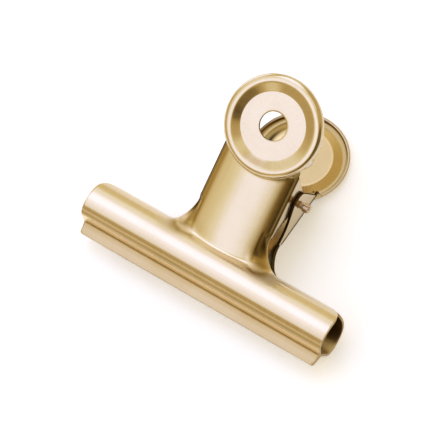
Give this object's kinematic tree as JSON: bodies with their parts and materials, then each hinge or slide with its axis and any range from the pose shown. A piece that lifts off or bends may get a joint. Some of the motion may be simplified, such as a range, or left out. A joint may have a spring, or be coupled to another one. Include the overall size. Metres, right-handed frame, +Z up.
{
  "type": "bulldog clip",
  "caption": "Spring bulldog clip: two pressed metal plates with a barrel-shaped jaw, a convex handle and a dished finger disc, hinged on a pin and held shut by a torsion spring.",
  "frame": {"origin": "middle of the underside's bounding box, on the surface that the clip lies on", "axes": "+X along the jaw, +Y from the jaw to the finger discs, +Z up; the clip lies on its back plate"},
  "size_m": [0.051, 0.0446, 0.0312],
  "materials": {
    "plate_gold": "bright pale gold plating on pressed steel sheet",
    "pin_gold": "gold plated steel rod, one flat rivet head and one upset end",
    "spring_wire": "drawn spring wire, thin gold plating"
  },
  "bodies": {
    "back_half": {"back_jaw_plate": "plate_gold", "pivot_pin": "pin_gold", "torsion_spring": "spring_wire"},
    "front_half": {"front_jaw_plate": "plate_gold"}
  },
  "joints": [
    {"name": "jaw_hinge", "type": "hinge", "parent": "back_half", "child": "front_half", "pos_m": [0, 0.00083, 0.01078], "axis": [-1, 0, 0], "range_deg": [0, 50], "stiffness_Nm_per_rad": 0.18, "springref_deg": -57.3, "deforming": ["torsion_spring"]}
  ]
}
